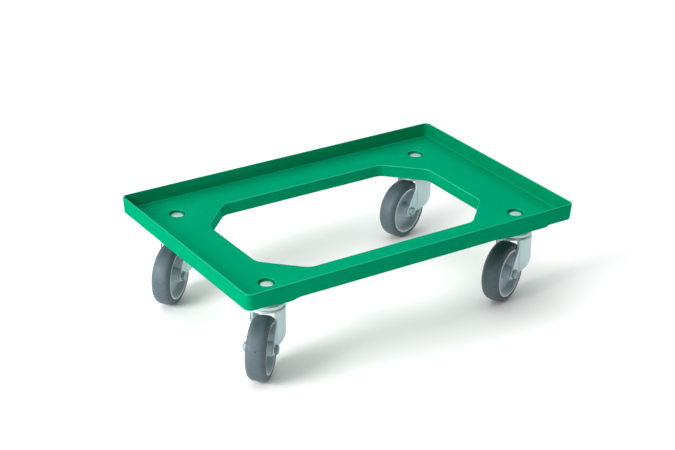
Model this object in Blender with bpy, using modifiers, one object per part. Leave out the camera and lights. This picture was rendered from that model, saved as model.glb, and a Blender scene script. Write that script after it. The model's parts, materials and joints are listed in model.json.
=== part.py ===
"""Platform trolley: a moulded plastic dolly deck on four swivel castors.

Metres, +Z up.  The origin is on the floor below the middle of the deck, +X runs
along the deck's long side and +Y across it.  "front" is the -Y side and "left"
the -X side.  Each castor is built once, in its own frame: the swivel axis is its
Z axis, the wheel trails towards its +X and the axle lies along its Y.
"""
import math

import bmesh
import bpy
from mathutils import Matrix, Vector

# ---------------------------------------------------------------- driving sizes
# Deck moulding
DECK_LENGTH = 0.612
DECK_WIDTH = 0.410
RIM_TOP = 0.166
LOAD_FACE = 0.1425
PLATE = 0.003
WALL = 0.0035
WALL_DRAFT = 0.06
CORNER_RADIUS = 0.011
OPENING_LENGTH = 0.429
OPENING_WIDTH = 0.267
OPENING_CHAMFER = 0.060
OPENING_RADIUS = 0.024
FLANGE = 0.003
FLANGE_BOTTOM = 0.1212
# The outer wall's lower edge: just below the plate between the castors, lower
# round them, and between the two at the corners.  Each ramp is a pair of
# distances from the deck's middle.
LONG_WALL_BOTTOM = 0.1392
END_WALL_BOTTOM = 0.1389
LOBE_BOTTOM = 0.136
CORNER_BOTTOM = 0.1388
LEFT_RAMP = (0.213, 0.230)
RIGHT_RAMP = (0.150, 0.186)
CORNER_RAMP = (0.250, 0.256)
END_RAMP = (0.163, 0.185)
# Ribs under the deck
RIB = 0.0022
RIB_BOTTOM = 0.131
RIB_SLOPE = 0.045
RIB_AT_FLANGE = 0.1252
RIB_AT_WALL = 0.140
LONG_SIDE_RIBS = (-0.110, 0.0, 0.110)
SHORT_SIDE_RIBS = (-0.040, 0.040)
CORNER_RIB_INSET = 0.004
# Castor mountings
MOUNT_X = 0.236
MOUNT_Y = 0.1415
BOSS_RADIUS = 0.0195
BOSS_WALL = 0.003
BOSS_BOTTOM = 0.125
BOSS_POCKET_TOP = 0.1339
HUB_RADIUS = 0.0085
RECESS_RADIUS = 0.0136
RECESS_FLOOR = 0.1369
BOLT_RADIUS = 0.004
BOLT_HEAD_RADIUS = 0.0108
BOLT_TIP = 0.0909
BOLT_POINT = 0.0007
HEXAGON = 0.013
LOCK_NUT = 0.0055
WASHER = 0.0016
WASHER_RADIUS = 0.008
# Castor head and its two rings of balls
SWIVEL_RADIUS = 0.029
CROWN_TOP = 0.107
CROWN_DOME = 0.003
CROWN_SHOULDER = 0.004
CROWN_BORE = 0.0102
HEAD_PLATE_SHEET = 0.0024
HEAD_PLATE_RADIUS = 0.028
HEAD_PLATE_LIP = 0.1079
KINGPIN_RADIUS = 0.0082
KINGPIN_FLANGE_RADIUS = 0.0158
LOWER_RACE_TOP = 0.1018
LOWER_RACE_BOTTOM = 0.0998
UPPER_BALLS = (0.0226, 0.1099, 0.0026)
LOWER_BALLS = (0.0126, 0.10465, 0.0024)
# Fork
SHEET = 0.0025
LEG_INNER = 0.01825
LEG_END_RADIUS = 0.009
LEG_TOP = 0.1035
PLATE_START = 0.0175
FRONT_EDGE = 0.0210
FRONT_BEND = 0.0900
REAR_EDGE = -0.0205
REAR_STEPS = ((0.010, 0.0515), (-0.010, 0.0630), (REAR_EDGE, 0.0725))
# Wheel and axle
WHEEL_RADIUS = 0.050
TRAIL = 0.0365
AXLE_HEAD = 0.0053
AXLE_NUT = 0.0060
AXLE_OVERHANG = 0.0080
SLEEVE_RADIUS = 0.006
RIM_RADIUS = 0.040
RIM_HALF = 0.015
WEB_HALF = 0.003
HUB_END_RADIUS = 0.011
TYRE_HALF = 0.01565
TYRE_SHOULDER = 0.0075
# Fits and facets
BORE_CLEARANCE = 0.0004
GAP = 0.0003
WHEEL_STEPS = 28
TURN_STEPS = 20
SMALL_STEPS = 16
BORE_STEPS = 12
# corner: (side along X, side along Y, where the wheel trails, in degrees round +Z from +X)
CASTORS = {
    "front_left": (-1, -1, 226.5),
    "front_right": (1, -1, 204.6),
    "rear_left": (-1, 1, 220.1),
    "rear_right": (1, 1, 198.7),
}

PLATE_BOTTOM = LOAD_FACE - PLATE
PLATE_MIDDLE = LOAD_FACE - PLATE / 2
AXLE_HEIGHT = WHEEL_RADIUS
LEG_OUTER = LEG_INNER + SHEET
BORE = BOLT_RADIUS + BORE_CLEARANCE
# How far a cutter reaches past what it cuts
BEYOND = 0.001
PAST_DECK = 0.35
PAST_CASTOR = 0.04
UNDER_DECK = FLANGE_BOTTOM - 0.010

# name: (colour, roughness, metallic)
FINISHES = {
    "green_plastic": ((0.0, 0.36, 0.17), 0.32, 0.0),
    "zinc_steel": ((0.66, 0.70, 0.72), 0.30, 1.0),
    "bolt_steel": ((0.74, 0.76, 0.77), 0.28, 1.0),
    "bearing_steel": ((0.55, 0.56, 0.58), 0.22, 1.0),
    "grey_plastic": ((0.30, 0.32, 0.34), 0.50, 0.0),
    "grey_tyre": ((0.14, 0.16, 0.18), 0.60, 0.0),
}


# ------------------------------------------------------------------- workshop
def clear_scene():
    for obj in list(bpy.data.objects):
        bpy.data.objects.remove(obj, do_unlink=True)


def collection(name):
    group = bpy.data.collections.new(name)
    bpy.context.scene.collection.children.link(group)
    return group


def finish(name):
    material = bpy.data.materials.new(name)
    material.use_nodes = True
    shader = material.node_tree.nodes["Principled BSDF"]
    colour, roughness, metallic = FINISHES[name]
    shader.inputs["Base Color"].default_value = (*colour, 1.0)
    shader.inputs["Roughness"].default_value = roughness
    shader.inputs["Metallic"].default_value = metallic
    material.diffuse_color = (*colour, 1.0)
    return material


def workpiece(name, mesh):
    """A mesh on the bench: a blank or a cutter, which the finished object leaves out."""
    obj = bpy.data.objects.new(name, mesh)
    obj.hide_render = True
    obj.display_type = "WIRE"
    CUTTERS.objects.link(obj)
    return obj


def taken_as_mesh(obj):
    """The object's shape with its modifiers applied, as a mesh; the object is removed."""
    bpy.context.view_layer.update()
    shape = obj.evaluated_get(bpy.context.evaluated_depsgraph_get())
    mesh = bpy.data.meshes.new_from_object(shape)
    mesh.transform(obj.matrix_world)
    bpy.data.objects.remove(obj, do_unlink=True)
    return mesh


def welded(mesh):
    """The mesh with its doubled vertices merged, such as a curve's loose caps."""
    body = bmesh.new()
    body.from_mesh(mesh)
    bmesh.ops.remove_doubles(body, verts=body.verts, dist=1e-6)
    body.to_mesh(mesh)
    body.free()
    return mesh


def simplified(mesh):
    """The mesh with the edges between coplanar faces dissolved."""
    body = bmesh.new()
    body.from_mesh(mesh)
    bmesh.ops.dissolve_limit(body, angle_limit=0.001, verts=body.verts, edges=body.edges)
    bmesh.ops.triangulate(body, faces=body.faces)
    body.to_mesh(mesh)
    body.free()
    return mesh


def combine(base, other, operation):
    """Join the other workpiece to the base, or cut it away, and use it up."""
    step = base.modifiers.new(operation.lower(), "BOOLEAN")
    step.operation = operation
    step.object = other
    step.solver = "EXACT"
    result = workpiece(base.name, taken_as_mesh(base))
    bpy.data.objects.remove(other, do_unlink=True)
    return result


def join(base, other):
    return combine(base, other, "UNION")


def cut(base, other):
    return combine(base, other, "DIFFERENCE")


# --------------------------------------------------------------------- shapes
def extruded(name, outline, low, high):
    """A flat outline in XY, filled and standing from low to high."""
    curve = bpy.data.curves.new(name, "CURVE")
    curve.dimensions = "2D"
    curve.fill_mode = "BOTH"
    curve.extrude = (high - low) / 2
    spline = curve.splines.new("POLY")
    spline.points.add(len(outline) - 1)
    for point, (x, y) in zip(spline.points, outline):
        point.co = (x, y, 0.0, 1.0)
    spline.use_cyclic_u = True
    obj = bpy.data.objects.new(name, curve)
    CUTTERS.objects.link(obj)
    obj.location.z = (low + high) / 2
    return workpiece(name, welded(taken_as_mesh(obj)))


def side_profile(name, outline, low, high):
    """An outline in XZ, extruded across Y from low to high."""
    obj = extruded(name, outline, -high, -low)
    obj.data.transform(Matrix.Rotation(math.pi / 2, 4, "X"))
    return obj


def end_profile(name, outline, low, high):
    """An outline in YZ, extruded along X from low to high."""
    obj = extruded(name, outline, low, high)
    turn = Matrix.Rotation(math.pi / 2, 4, "Z") @ Matrix.Rotation(math.pi / 2, 4, "X")
    obj.data.transform(turn)
    return obj


def turned(name, profile, steps=TURN_STEPS, closed=True):
    """A profile of (radius, height) points, top to bottom down its outer side,
    turned round Z.  An open profile starts and ends on the axis."""
    mesh = bpy.data.meshes.new(name)
    vertices = [(radius, 0.0, height) for radius, height in profile]
    edges = [(i, i + 1) for i in range(len(profile) - 1)]
    if closed:
        edges.append((len(profile) - 1, 0))
    mesh.from_pydata(vertices, edges, [])
    obj = workpiece(name, mesh)
    screw = obj.modifiers.new("turn", "SCREW")
    screw.axis = "Z"
    screw.steps = steps
    screw.render_steps = steps
    screw.use_merge_vertices = True
    screw.merge_threshold = 0.00001
    return workpiece(name, welded(taken_as_mesh(obj)))


def arc(centre, radius, start, end, steps):
    """Points on a circle from one angle to another, both in degrees."""
    angles = [math.radians(start + (end - start) * i / steps) for i in range(steps + 1)]
    return [(centre[0] + radius * math.cos(a), centre[1] + radius * math.sin(a)) for a in angles]


def circle(centre, radius):
    return arc(centre, radius, 0, 360, BORE_STEPS)[:-1]


def hexagon(across_flats):
    return arc((0, 0), across_flats / math.sqrt(3), 0, 300, 5)


def rounded(corners, radius, steps=3):
    """The outline through the corners, anticlockwise, with each corner rounded."""
    outline = []
    count = len(corners)
    for i, corner in enumerate(corners):
        here = Vector(corner)
        back = (Vector(corners[i - 1]) - here).normalized()
        ahead = (Vector(corners[(i + 1) % count]) - here).normalized()
        half = back.angle(ahead) / 2
        centre = here + (back + ahead).normalized() * (radius / math.sin(half))
        start = here + back * (radius / math.tan(half)) - centre
        sweep = math.degrees(math.pi - 2 * half)
        angle = math.degrees(math.atan2(start.y, start.x))
        outline += arc(centre, radius, angle, angle + sweep, steps)
    return outline


def rectangle(length, width):
    x = length / 2
    y = width / 2
    return [(x, -y), (x, y), (-x, y), (-x, -y)]


def drafted_block(name, length, width, radius, low, high):
    """A rounded block, length by width at the rim top and drafted inwards below it."""
    block = extruded(name, rounded(rectangle(length, width), radius), low, high)
    for vertex in block.data.vertices:
        inset = WALL_DRAFT * (RIM_TOP - vertex.co.z)
        vertex.co.x -= math.copysign(inset, vertex.co.x)
        vertex.co.y -= math.copysign(inset, vertex.co.y)
    return block


def opening_outline(grow):
    """The deck's central opening: a rectangle with cut corners, grown outwards."""
    x = OPENING_LENGTH / 2 + grow
    y = OPENING_WIDTH / 2 + grow
    cut_back = OPENING_CHAMFER + grow * (2 - math.sqrt(2))
    corners = [
        (x, -y + cut_back), (x, y - cut_back), (x - cut_back, y), (-x + cut_back, y),
        (-x, y - cut_back), (-x, -y + cut_back), (-x + cut_back, -y), (x - cut_back, -y),
    ]
    return rounded(corners, OPENING_RADIUS + grow)


# ----------------------------------------------------------------------- deck
def rib(start, end, bottom_start, bottom_end, middle=None):
    """A straight rib under the deck.  Its lower edge slopes between two heights, or
    runs level at a middle height between two sloping ends."""
    start = Vector(start)
    end = Vector(end)
    length = (end - start).length
    lower = [(0, bottom_start), (length, bottom_end)]
    if middle is not None:
        lower[1:1] = [(RIB_SLOPE, middle), (length - RIB_SLOPE, middle)]
    outline = lower + [(length, PLATE_MIDDLE), (0, PLATE_MIDDLE)]
    obj = side_profile("rib", outline, -RIB / 2, RIB / 2)
    heading = (end - start).normalized()
    turn = Matrix.Rotation(math.atan2(heading.y, heading.x), 4, "Z")
    obj.data.transform(Matrix.Translation((start.x, start.y, 0)) @ turn)
    return obj


def deck_ribs():
    """Ribs between the opening's flange, the castor bosses and the outer wall."""
    flange_x = OPENING_LENGTH / 2 + FLANGE / 2
    flange_y = OPENING_WIDTH / 2 + FLANGE / 2
    wall_x = DECK_LENGTH / 2 - WALL
    wall_y = DECK_WIDTH / 2 - WALL
    chamfer_middle = OPENING_CHAMFER / 2
    ribs = []
    for side in (-1, 1):
        y = side * (flange_y + wall_y) / 2
        ribs.append(rib((-wall_x, y), (wall_x, y), RIB_AT_WALL, RIB_AT_WALL, RIB_BOTTOM))
        for x in LONG_SIDE_RIBS:
            ribs.append(rib((x, side * flange_y), (x, side * wall_y), RIB_AT_FLANGE, RIB_AT_WALL))
        x = side * (flange_x + wall_x) / 2
        ribs.append(rib((x, -wall_y), (x, wall_y), RIB_AT_WALL, RIB_AT_WALL, RIB_BOTTOM))
        for y in SHORT_SIDE_RIBS:
            ribs.append(rib((side * flange_x, y), (side * wall_x, y), RIB_AT_FLANGE, RIB_AT_WALL))
    for x, y in mounts():
        right = math.copysign(1, x)
        rear = math.copysign(1, y)
        inner = (right * (flange_x - chamfer_middle), rear * (flange_y - chamfer_middle))
        outer = (right * (wall_x - CORNER_RIB_INSET), rear * (wall_y - CORNER_RIB_INSET))
        ribs.append(rib(inner, (x, y), RIB_AT_FLANGE, RIB_AT_FLANGE))
        ribs.append(rib((x, y), outer, RIB_AT_FLANGE, RIB_AT_WALL))
    return ribs


def mounts():
    """The four castors' swivel axes, as (x, y)."""
    return [(right * MOUNT_X, rear * MOUNT_Y) for right in (-1, 1) for rear in (-1, 1)]


def below_long_walls():
    """The region below the long walls' lower edge, from its inner end outwards on
    the right and back inwards on the left."""
    def side(ramp):
        return [
            (ramp[0], LONG_WALL_BOTTOM), (ramp[1], LOBE_BOTTOM), (CORNER_RAMP[0], LOBE_BOTTOM),
            (CORNER_RAMP[1], CORNER_BOTTOM), (PAST_DECK, CORNER_BOTTOM), (PAST_DECK, UNDER_DECK),
        ]
    return side(RIGHT_RAMP) + [(-x, z) for x, z in reversed(side(LEFT_RAMP))]


def below_end_walls():
    """The region below the short walls' lower edge, between the castors."""
    high, low = END_RAMP
    return [(high, END_WALL_BOTTOM), (-high, END_WALL_BOTTOM), (-low, UNDER_DECK), (low, UNDER_DECK)]


def boss(x, y):
    """Round castor boss: a ring wall with a hub inside it for the bolt."""
    pocket_radius = BOSS_RADIUS - BOSS_WALL
    profile = [
        (0.0, PLATE_MIDDLE), (BOSS_RADIUS, PLATE_MIDDLE), (BOSS_RADIUS, BOSS_BOTTOM),
        (pocket_radius, BOSS_BOTTOM), (pocket_radius, BOSS_POCKET_TOP),
        (HUB_RADIUS, BOSS_POCKET_TOP), (HUB_RADIUS, BOSS_BOTTOM), (0.0, BOSS_BOTTOM),
    ]
    obj = turned("boss", profile, SMALL_STEPS, closed=False)
    obj.data.transform(Matrix.Translation((x, y, 0)))
    return obj


def bolt_hole(x, y):
    """The bolt's hole and the round recess for its head."""
    below = BOSS_BOTTOM - BEYOND
    profile = [
        (0.0, RIM_TOP), (RECESS_RADIUS, RIM_TOP), (RECESS_RADIUS, RECESS_FLOOR),
        (BORE, RECESS_FLOOR), (BORE, below), (0.0, below),
    ]
    obj = turned("bolt_hole", profile, SMALL_STEPS, closed=False)
    obj.data.transform(Matrix.Translation((x, y, 0)))
    return obj


def deck_mesh():
    """Tray with a drafted rim wall, a flanged opening, ribs and castor bosses."""
    length = DECK_LENGTH - 2 * WALL
    width = DECK_WIDTH - 2 * WALL
    radius = CORNER_RADIUS - WALL
    low = LOBE_BOTTOM - BEYOND
    deck = drafted_block("deck", DECK_LENGTH, DECK_WIDTH, CORNER_RADIUS, low, RIM_TOP)
    deck = cut(deck, side_profile("below_long_walls", below_long_walls(), -PAST_DECK, PAST_DECK))
    deck = cut(deck, end_profile("below_end_walls", below_end_walls(), -PAST_DECK, PAST_DECK))
    deck = cut(deck, drafted_block("tray", length, width, radius, LOAD_FACE, RIM_TOP + BEYOND))
    deck = cut(deck, drafted_block("under", length, width, radius, UNDER_DECK, PLATE_BOTTOM))
    deck = join(deck, extruded("flange", opening_outline(FLANGE), FLANGE_BOTTOM, PLATE_MIDDLE))
    for x, y in mounts():
        deck = join(deck, boss(x, y))
    for piece in deck_ribs():
        deck = join(deck, piece)
    deck = cut(deck, extruded("opening", opening_outline(0.0), FLANGE_BOTTOM - BEYOND, RIM_TOP))
    for x, y in mounts():
        deck = cut(deck, bolt_hole(x, y))
    return simplified(taken_as_mesh(deck))


# -------------------------------------------------------------- castor, fixed
def mount_bolt_mesh():
    """Round-head bolt, from the recess in the deck down to its nut."""
    seat = RECESS_FLOOR + GAP
    profile = [
        (0.0, seat + 0.0032), (0.0060, seat + 0.0030), (0.0095, seat + 0.0024),
        (BOLT_HEAD_RADIUS, seat + 0.0013), (BOLT_HEAD_RADIUS, seat), (BOLT_RADIUS, seat),
        (BOLT_RADIUS, BOLT_TIP + BOLT_POINT), (BOLT_RADIUS - BOLT_POINT, BOLT_TIP), (0.0, BOLT_TIP),
    ]
    return taken_as_mesh(turned("mount_bolt", profile, SMALL_STEPS, closed=False))


def head_plate_mesh():
    """The castor's fixed top plate: a raised centre under the boss and a turned-down
    cup round the upper balls."""
    top = BOSS_BOTTOM - GAP
    bore = KINGPIN_RADIUS + GAP
    edge = HEAD_PLATE_RADIUS
    profile = [
        (bore, top), (0.0190, top), (0.0205, 0.1170), (edge - 0.0018, 0.1148), (edge, 0.1125),
        (edge, HEAD_PLATE_LIP), (edge - HEAD_PLATE_SHEET, HEAD_PLATE_LIP),
        (edge - HEAD_PLATE_SHEET, 0.1128), (0.0184, 0.1147), (0.0170, top - HEAD_PLATE_SHEET),
        (bore, top - HEAD_PLATE_SHEET),
    ]
    return taken_as_mesh(turned("head_plate", profile))


def kingpin_mesh():
    """Hollow pin through the head, with a flange that carries the lower balls."""
    top = BOSS_BOTTOM - 2 * GAP
    profile = [
        (BORE, top), (KINGPIN_RADIUS, top), (KINGPIN_RADIUS, LOWER_RACE_TOP),
        (KINGPIN_FLANGE_RADIUS, LOWER_RACE_TOP), (KINGPIN_FLANGE_RADIUS, LOWER_RACE_BOTTOM),
        (BORE, LOWER_RACE_BOTTOM),
    ]
    return taken_as_mesh(turned("kingpin", profile, SMALL_STEPS))


def washer_mesh():
    top = LOWER_RACE_BOTTOM - GAP
    profile = [(BORE, top), (WASHER_RADIUS, top), (WASHER_RADIUS, top - WASHER), (BORE, top - WASHER)]
    return taken_as_mesh(turned("washer", profile, BORE_STEPS))


def nut_mesh(name, low, high):
    nut = extruded(name, hexagon(HEXAGON), low, high)
    bore = extruded("nut_bore", circle((0, 0), BORE), low - BEYOND, high + BEYOND)
    return taken_as_mesh(cut(nut, bore))


def lock_nut_mesh():
    top = LOWER_RACE_BOTTOM - WASHER - 2 * GAP
    return nut_mesh("lock_nut", top - LOCK_NUT, top)


# ------------------------------------------------------------ castor, swivels
def ball_ring_mesh(name, radius, height, section, steps):
    """The space that a ring of balls rolls in: a six-sided section, turned."""
    profile = arc((radius, height), section, 120, -180, 5)
    return taken_as_mesh(turned(name, profile, steps))


def upper_ball_ring_mesh():
    return ball_ring_mesh("upper_ball_ring", *UPPER_BALLS, TURN_STEPS)


def lower_ball_ring_mesh():
    return ball_ring_mesh("lower_ball_ring", *LOWER_BALLS, SMALL_STEPS)


def fork_cup():
    """Crown and round skirt, turned about the swivel axis."""
    corner = (SWIVEL_RADIUS - CROWN_SHOULDER, CROWN_TOP - CROWN_SHOULDER)
    dome = CROWN_TOP + CROWN_DOME
    bottom = AXLE_HEIGHT - LEG_END_RADIUS - BEYOND
    profile = [(CROWN_BORE, dome), (0.0170, dome), (0.0192, CROWN_TOP)]
    profile += arc(corner, CROWN_SHOULDER, 90, 0, 3)
    profile += [(SWIVEL_RADIUS, bottom), (SWIVEL_RADIUS - SHEET, bottom)]
    profile += arc(corner, CROWN_SHOULDER - SHEET, 0, 90, 1)
    profile += [(0.0180, CROWN_TOP - SHEET), (0.0159, dome - SHEET), (CROWN_BORE, dome - SHEET)]
    return turned("fork", profile)


def fork_mesh():
    """Pressed-steel fork: the cup is cut to the legs' side view, and two flat plates
    carry the legs on past it to the axle."""
    axle = (TRAIL, AXLE_HEIGHT)
    below = AXLE_HEIGHT - 2 * LEG_END_RADIUS
    inside = FRONT_EDGE + BEYOND
    front = [(FRONT_EDGE, LEG_TOP), (FRONT_EDGE, below), (PAST_CASTOR, below), (PAST_CASTOR, LEG_TOP)]
    rear = [(-PAST_CASTOR, LEG_TOP), (-PAST_CASTOR, below), (inside, below), (inside, 0.0452)]
    rear += [*REAR_STEPS, (REAR_EDGE, LEG_TOP)]
    leg = [(PLATE_START, 0.0472)] + arc(axle, LEG_END_RADIUS, 250, 393, 6)
    leg += [(FRONT_EDGE, FRONT_BEND), (FRONT_EDGE, LEG_TOP + BEYOND), (PLATE_START, LEG_TOP + BEYOND)]
    fork = cut(fork_cup(), side_profile("front_window", front, -PAST_CASTOR, PAST_CASTOR))
    fork = cut(fork, side_profile("rear_window", rear, -PAST_CASTOR, PAST_CASTOR))
    fork = join(fork, side_profile("left_leg", leg, LEG_INNER, LEG_OUTER))
    fork = join(fork, side_profile("right_leg", leg, -LEG_OUTER, -LEG_INNER))
    fork = cut(fork, side_profile("axle_hole", circle(axle, BORE), -PAST_CASTOR, PAST_CASTOR))
    return simplified(taken_as_mesh(fork))


# The axle's pieces and the wheel are made about their own Z axis, which the wheel's
# empty turns into the castor's Y.
def axle_bolt_mesh():
    seat = LEG_OUTER + GAP
    tip = -(LEG_OUTER + AXLE_OVERHANG)
    head = extruded("axle_bolt", hexagon(HEXAGON), seat, seat + AXLE_HEAD)
    shank_profile = [
        (0.0, seat + BEYOND), (BOLT_RADIUS, seat + BEYOND), (BOLT_RADIUS, tip + BOLT_POINT),
        (BOLT_RADIUS - BOLT_POINT, tip), (0.0, tip),
    ]
    shank = turned("shank", shank_profile, BORE_STEPS, closed=False)
    return taken_as_mesh(join(head, shank))


def axle_nut_mesh():
    seat = -(LEG_OUTER + GAP)
    return nut_mesh("axle_nut", seat - AXLE_NUT, seat)


def axle_sleeve_mesh():
    """Spacer tube between the fork's legs, which the wheel turns on."""
    half = LEG_INNER - GAP
    profile = [(BORE, half), (SLEEVE_RADIUS, half), (SLEEVE_RADIUS, -half), (BORE, -half)]
    return taken_as_mesh(turned("axle_sleeve", profile, BORE_STEPS))


def mirrored(upper):
    """A profile's upper half followed by its mirror image below."""
    return upper + [(radius, -height) for radius, height in reversed(upper)]


def wheel_centre_mesh():
    """Plastic wheel centre: rim, recessed web and hub."""
    hub_half = LEG_INNER - 0.0007
    upper = [
        (SLEEVE_RADIUS + BORE_CLEARANCE, hub_half), (HUB_END_RADIUS, hub_half), (0.0118, WEB_HALF),
        (0.0345, WEB_HALF), (0.0362, RIM_HALF), (RIM_RADIUS, RIM_HALF),
    ]
    return taken_as_mesh(turned("wheel_centre", mirrored(upper), WHEEL_STEPS - 4))


def tyre_mesh():
    """Tyre with rounded shoulders, on the rim with a thin clearance."""
    corner = (WHEEL_RADIUS - TYRE_SHOULDER, TYRE_HALF - TYRE_SHOULDER)
    upper = [(RIM_RADIUS + GAP, RIM_HALF)] + arc(corner, TYRE_SHOULDER, 90, 0, 3)
    return taken_as_mesh(turned("tyre", mirrored(upper), WHEEL_STEPS))


# ------------------------------------------------------------------- assembly
# piece: (mesh maker, finish, which frame of the castor holds it)
PIECES = {
    "mount_bolt": (mount_bolt_mesh, "bolt_steel", "head"),
    "head_plate": (head_plate_mesh, "zinc_steel", "head"),
    "kingpin": (kingpin_mesh, "zinc_steel", "head"),
    "washer": (washer_mesh, "bolt_steel", "head"),
    "lock_nut": (lock_nut_mesh, "bolt_steel", "head"),
    "upper_ball_ring": (upper_ball_ring_mesh, "bearing_steel", "swivel"),
    "lower_ball_ring": (lower_ball_ring_mesh, "bearing_steel", "swivel"),
    "fork": (fork_mesh, "zinc_steel", "swivel"),
    "axle_bolt": (axle_bolt_mesh, "bolt_steel", "wheel"),
    "axle_nut": (axle_nut_mesh, "bolt_steel", "wheel"),
    "axle_sleeve": (axle_sleeve_mesh, "bearing_steel", "wheel"),
    "wheel_centre": (wheel_centre_mesh, "grey_plastic", "wheel"),
    "tyre": (tyre_mesh, "grey_tyre", "wheel"),
}


def empty(name, location, parent=None):
    obj = bpy.data.objects.new(name, None)
    obj.empty_display_size = 0.02
    obj.location = location
    obj.parent = parent
    TROLLEY.objects.link(obj)
    return obj


def part(name, mesh, parent):
    obj = bpy.data.objects.new(name, mesh)
    obj.parent = parent
    TROLLEY.objects.link(obj)
    return obj


def dressed(mesh, material):
    """Give a mesh its material and smooth shading with sharp edges kept."""
    mesh.materials.clear()
    mesh.materials.append(material)
    mesh.shade_smooth()
    mesh.set_sharp_from_angle(angle=math.radians(35))
    return mesh


def place_castor(corner, meshes):
    right, rear, trail = CASTORS[corner]
    place = (right * MOUNT_X, rear * MOUNT_Y, 0.0)
    head = empty(corner + "_head_axis", place)
    swivel = empty(corner + "_swivel_axis", place)
    swivel.rotation_euler.z = math.radians(trail)
    wheel = empty(corner + "_wheel_axis", (TRAIL, 0.0, AXLE_HEIGHT), swivel)
    wheel.rotation_euler.x = -math.pi / 2
    frames = {"head": head, "swivel": swivel, "wheel": wheel}
    for piece, (_, _, frame) in PIECES.items():
        part(corner + "_" + piece, meshes[piece], frames[frame])


def build():
    materials = {name: finish(name) for name in FINISHES}
    part("deck", dressed(deck_mesh(), materials["green_plastic"]), None)
    meshes = {}
    for piece, (make, look, _) in PIECES.items():
        meshes[piece] = dressed(make(), materials[look])
    for corner in CASTORS:
        place_castor(corner, meshes)
    bpy.context.view_layer.update()


clear_scene()
TROLLEY = collection("platform_trolley")
CUTTERS = collection("cutters")
build()
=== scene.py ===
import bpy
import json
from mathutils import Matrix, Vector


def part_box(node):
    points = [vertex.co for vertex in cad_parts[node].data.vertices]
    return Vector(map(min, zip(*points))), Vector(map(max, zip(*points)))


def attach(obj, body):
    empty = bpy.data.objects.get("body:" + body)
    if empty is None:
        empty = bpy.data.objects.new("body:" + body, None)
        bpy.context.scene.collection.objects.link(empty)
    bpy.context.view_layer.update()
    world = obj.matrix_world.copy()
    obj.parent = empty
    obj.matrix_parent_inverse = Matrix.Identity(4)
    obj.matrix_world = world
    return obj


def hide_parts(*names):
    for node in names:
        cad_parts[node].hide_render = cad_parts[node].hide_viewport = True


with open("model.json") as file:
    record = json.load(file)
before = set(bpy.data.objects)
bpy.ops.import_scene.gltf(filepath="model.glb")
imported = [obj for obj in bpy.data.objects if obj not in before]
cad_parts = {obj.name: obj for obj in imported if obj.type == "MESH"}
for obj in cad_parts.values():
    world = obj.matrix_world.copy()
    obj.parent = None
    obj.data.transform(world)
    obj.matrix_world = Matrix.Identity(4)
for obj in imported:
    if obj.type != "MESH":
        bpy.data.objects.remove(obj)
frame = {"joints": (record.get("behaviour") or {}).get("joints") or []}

"""Fine meshes, materials, light and camera for the platform trolley.

Metres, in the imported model's frame: +Z up, +X along the deck, +Y across it.  Every CAD
node is replaced by a piece with real edge radii.  The deck is a skin of rings round its
wall, its opening and its castor bosses, with ribs joined on below.  A castor's pieces
are made once, in the castor's own frame: the swivel axis is Z, the wheel trails towards
+X and the axle lies along Y.  A profile's corners are (radius or inset, height, edge
radius), so the third value is how far that edge is rounded.
"""
import json
import math

import bmesh
import bpy
from mathutils import Matrix, Vector

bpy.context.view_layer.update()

# ---------------------------------------------------------------- sizes, metres
# Play between pieces that would otherwise touch
GAP = 0.0003
# Deck: what the frame doesn't say
WALL = 0.0035
WALL_DRAFT = 0.06
CORNER_RADIUS = 0.011
LOAD_FACE = 0.1425
PLATE = 0.003
OPENING_LENGTH = 0.429
OPENING_WIDTH = 0.267
OPENING_CHAMFER = 0.060
OPENING_RADIUS = 0.024
UNDER_FILLET = 0.0012
FLANGE = 0.003
FLANGE_BOTTOM = 0.1212
LOBE_BOTTOM = 0.136
CORNER_BOTTOM = 0.1388
LONG_WALL_BOTTOM = 0.1392
END_WALL_BOTTOM = 0.1389
LEFT_RAMP = (0.213, 0.230)
RIGHT_RAMP = (0.150, 0.186)
CORNER_RAMP = (0.250, 0.256)
END_RAMP = (0.163, 0.185)
RIB = 0.0022
RIB_EDGE = 0.0003
RIB_BOTTOM = 0.131
RIB_SLOPE = 0.045
RIB_AT_FLANGE = 0.1252
RIB_AT_WALL = 0.140
LONG_SIDE_RIBS = (-0.110, 0.0, 0.110)
SHORT_SIDE_RIBS = (-0.040, 0.040)
CORNER_RIB_INSET = 0.004
# Gate mark: a pip on the near wall, at (x, height)
GATE_MARK = (0.136, 0.1524)
GATE_RADIUS = 0.0014
GATE_TOP_RADIUS = 0.0009
GATE_SINK = 0.0010
GATE_SHOULDER = 0.0004
GATE_RISE = 0.0005
# Boss, recess and bolts
BOSS_RADIUS = 0.0195
BOSS_WALL = 0.003
BOSS_BOTTOM = 0.125
BOSS_POCKET_TOP = 0.1339
HUB_RADIUS = 0.0085
RECESS_RADIUS = 0.0136
RECESS_FLOOR = 0.1369
BOLT_RADIUS = 0.004
BORE = 0.0044
BORE_CHAMFER = 0.0005
BORE_CHAMFER_DEPTH = 0.0004
BOLT_HEAD_RADIUS = 0.0108
# The head's round top, above its seat
BOLT_HEAD_TOP = ((0.0, 0.0032, 0), (0.0060, 0.0030, 0.0080), (0.0096, 0.0023, 0.0020),
                 (BOLT_HEAD_RADIUS, 0.0012, 0.0006))
BOLT_NECK = 0.002
BOLT_TIP = 0.0909
TIP_CHAMFER = 0.0008
THREAD_PITCH = 0.00125
THREAD_DEPTH = 0.00055
HEXAGON = 0.013
HEXAGON_INSET = 0.0004
HEXAGON_EDGE = 0.0001
HEXAGON_CHAMFER = 0.0005
CHAMFER_SLOPE = 0.5
LOCK_NUT = 0.0055
COLLAR = 0.0014
COLLAR_RADIUS = 0.0056
COLLAR_OVERLAP = 0.0005
WASHER = 0.0016
WASHER_RADIUS = 0.008
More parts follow.
